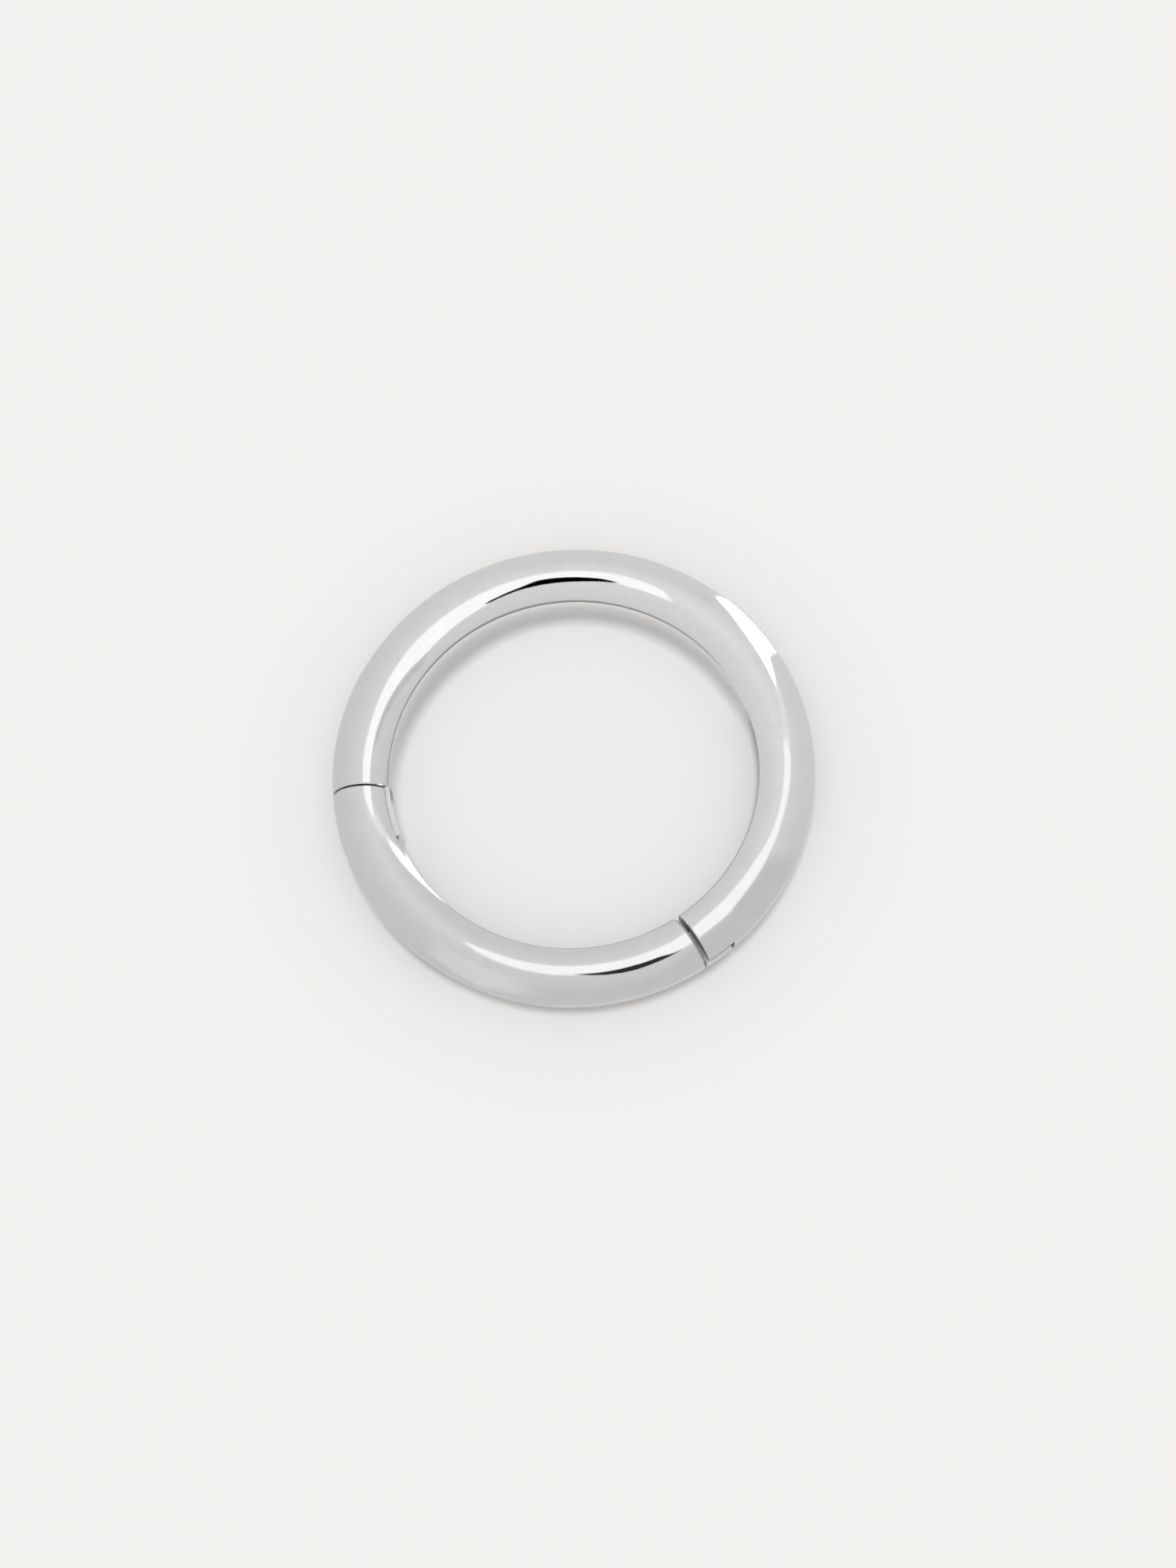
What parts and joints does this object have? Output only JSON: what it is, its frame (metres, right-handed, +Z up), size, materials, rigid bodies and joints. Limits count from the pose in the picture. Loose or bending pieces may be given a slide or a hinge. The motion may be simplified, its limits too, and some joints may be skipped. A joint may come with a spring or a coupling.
{
  "type": "hinged segment hoop earring",
  "caption": "Polished round-wire hoop earring whose short segment swings open on a tongue-and-pin hinge and shuts with a flat tab in a slot.",
  "frame": {"origin": "centre of the ring on the surface that it lies on", "axes": "+Z up along the ring's axis; -X towards the hinge seam; the clasp seam is 116.0 degrees anticlockwise of the hinge seam, seen from above"},
  "size_m": [0.0104, 0.0104, 0.0012],
  "materials": {
    "hoop_metal": "mirror-polished stainless steel, neutral white",
    "gate_metal": "mirror-polished stainless steel, neutral white",
    "pin_metal": "pin ends dressed flush and polished with the wire"
  },
  "bodies": {
    "hoop": {"hoop_arc": "hoop_metal"},
    "gate": {"gate_arc": "gate_metal", "hinge_pin": "pin_metal"}
  },
  "joints": [
    {"name": "gate_hinge", "type": "hinge", "parent": "hoop", "child": "gate", "pos_m": [-0.0049, -0.0006, 0.0006], "axis": [0, 0, -1], "range_deg": [0, 90]}
  ]
}
